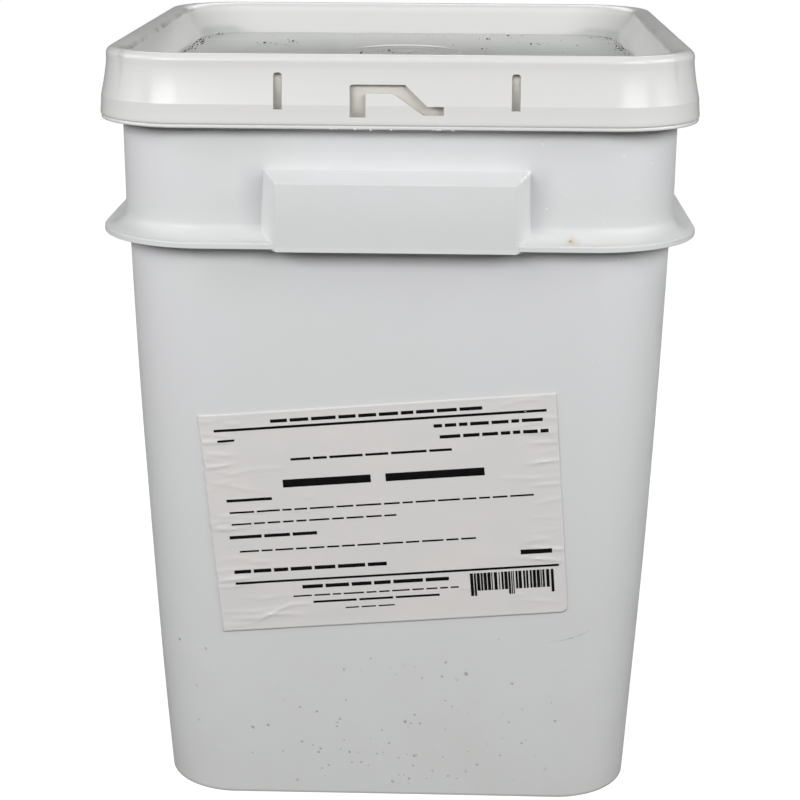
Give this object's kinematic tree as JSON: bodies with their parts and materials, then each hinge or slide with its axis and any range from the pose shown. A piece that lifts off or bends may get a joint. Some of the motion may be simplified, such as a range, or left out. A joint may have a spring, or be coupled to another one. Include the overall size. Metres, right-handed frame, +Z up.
{
  "type": "lidded square pail",
  "caption": "Tall white square food pail with rounded corners, a tight press-on lid with a sunk panel, a collar with hand grips, and a paper label on the front",
  "frame": {"origin": "centre of the pail's footprint, on the floor", "axes": "+Z up along the pail, -Y towards the label and the tear tab, +X to the right of someone facing the label"},
  "size_m": [0.252, 0.2568, 0.3359],
  "materials": {
    "pail_plastic": "satin injection-moulded polyethylene, slightly cool white",
    "lid_plastic": "glossy white polyethylene",
    "label_paper": "thin wrinkled self-adhesive paper with plain dark rules and bars"
  },
  "bodies": {
    "root": {"pail": "pail_plastic", "lid": "lid_plastic", "label": "label_paper"}
  },
  "joints": []
}
